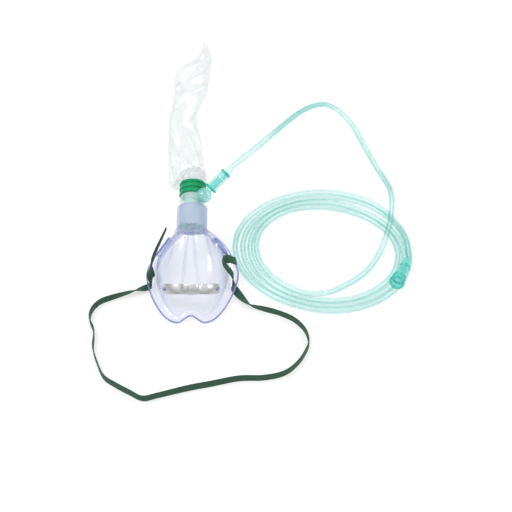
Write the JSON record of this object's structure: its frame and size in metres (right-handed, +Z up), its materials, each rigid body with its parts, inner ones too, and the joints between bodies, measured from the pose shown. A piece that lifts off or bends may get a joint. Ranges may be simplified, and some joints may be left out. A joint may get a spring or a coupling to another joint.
{
  "type": "oxygen mask with reservoir bag",
  "caption": "Clear face mask with nose clip, vents, head strap, turning valve head, limp reservoir bag and a long oxygen tube in a loose coil, lying on a table",
  "frame": {"origin": "on the table, midway between the nose end of the mask and the tip of the bag, on the mask's axis", "axes": "+Y from the nose end of the mask to the tip of the bag, +X to the side where the tube lies, +Z up"},
  "size_m": [0.3099, 0.4882, 0.0888],
  "materials": {
    "mask_pvc": "clear moulded PVC with a faint blue-violet tint, glossy",
    "nose_clip_metal": "thin bright aluminium strip, softly brushed",
    "flap_silicone": "thin translucent silicone",
    "strap_elastic": "dark green woven elastic",
    "valve_plastic": "pale mint translucent plastic",
    "collar_plastic": "dark green translucent plastic with ribs",
    "bag_film": "thin clear film with soft creases",
    "cuff_pvc": "soft translucent teal PVC with flutes and rings",
    "tube_pvc": "soft clear PVC tube with a pale green tint"
  },
  "bodies": {
    "mask": {"mask_shell": "mask_pvc", "nose_clip": "nose_clip_metal", "head_strap": "strap_elastic", "oxygen_tube_run": "tube_pvc", "oxygen_tube_coil": "tube_pvc", "oxygen_tube_tail": "tube_pvc", "supply_cuff": "cuff_pvc"},
    "valve_head": {"valve_body": "valve_plastic", "valve_seat": "valve_plastic", "bag_collar": "collar_plastic", "reservoir_bag": "bag_film", "mask_end_cuff": "cuff_pvc", "oxygen_tube_lead": "tube_pvc"},
    "exhale_left": {"exhale_flap_left": "flap_silicone"},
    "exhale_right": {"exhale_flap_right": "flap_silicone"},
    "inhale": {"inhale_flap": "flap_silicone"}
  },
  "joints": [
    {"name": "port_swivel", "type": "hinge", "parent": "mask", "child": "valve_head", "pos_m": [0, -0.1265, 0.045], "axis": [0, 0.9613, 0.2756], "range_deg": [-90, 90], "deforming": ["oxygen_tube_lead", "reservoir_bag"]},
    {"name": "exhale_left_lift", "type": "slide", "parent": "mask", "child": "exhale_left", "axis": [-0.874, 0.39, 0.2899], "range_m": [0, 0.0012], "stiffness_N_per_m": 5},
    {"name": "exhale_right_lift", "type": "slide", "parent": "mask", "child": "exhale_right", "axis": [0.874, 0.39, 0.2899], "range_m": [0, 0.0012], "stiffness_N_per_m": 5},
    {"name": "inhale_lift", "type": "slide", "parent": "valve_head", "child": "inhale", "axis": [0, -0.9613, -0.2756], "range_m": [0, 0.0012], "stiffness_N_per_m": 5}
  ]
}
